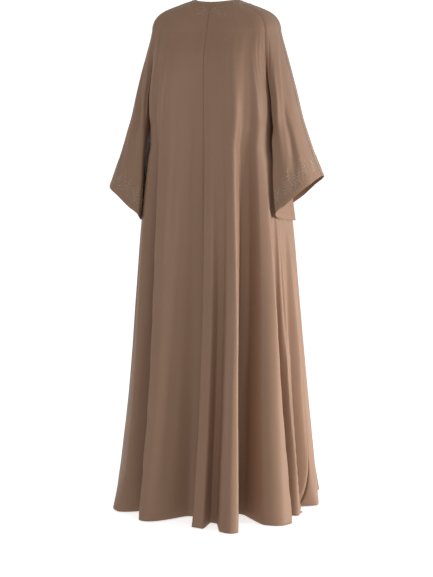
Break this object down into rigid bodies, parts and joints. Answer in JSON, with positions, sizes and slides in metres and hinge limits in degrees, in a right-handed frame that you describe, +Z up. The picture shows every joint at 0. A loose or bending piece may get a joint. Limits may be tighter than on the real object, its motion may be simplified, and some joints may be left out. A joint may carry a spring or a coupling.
{
  "type": "open-front abaya cloak, worn pose",
  "caption": "Floor-length open-front cloak with cut-in-one wide sleeves and deep vertical flutes, hanging hollow as it is worn.",
  "frame": {"origin": "in the neck opening on the garment's middle plane, level with the tops of the wearer's shoulders, where the shoulders carry the cloak", "axes": "+Z up; the open front faces -Y and the back faces +Y; the wearer's right sleeve is at -X"},
  "size_m": [0.614, 0.563, 1.4475],
  "materials": {
    "back_left_crepe": "satin",
    "back_right_crepe": "satin",
    "front_left_crepe": "satin",
    "front_right_crepe": "satin"
  },
  "bodies": {
    "root": {"back_left": "back_left_crepe", "back_right": "back_right_crepe", "front_left": "front_left_crepe", "front_right": "front_right_crepe"}
  },
  "joints": []
}
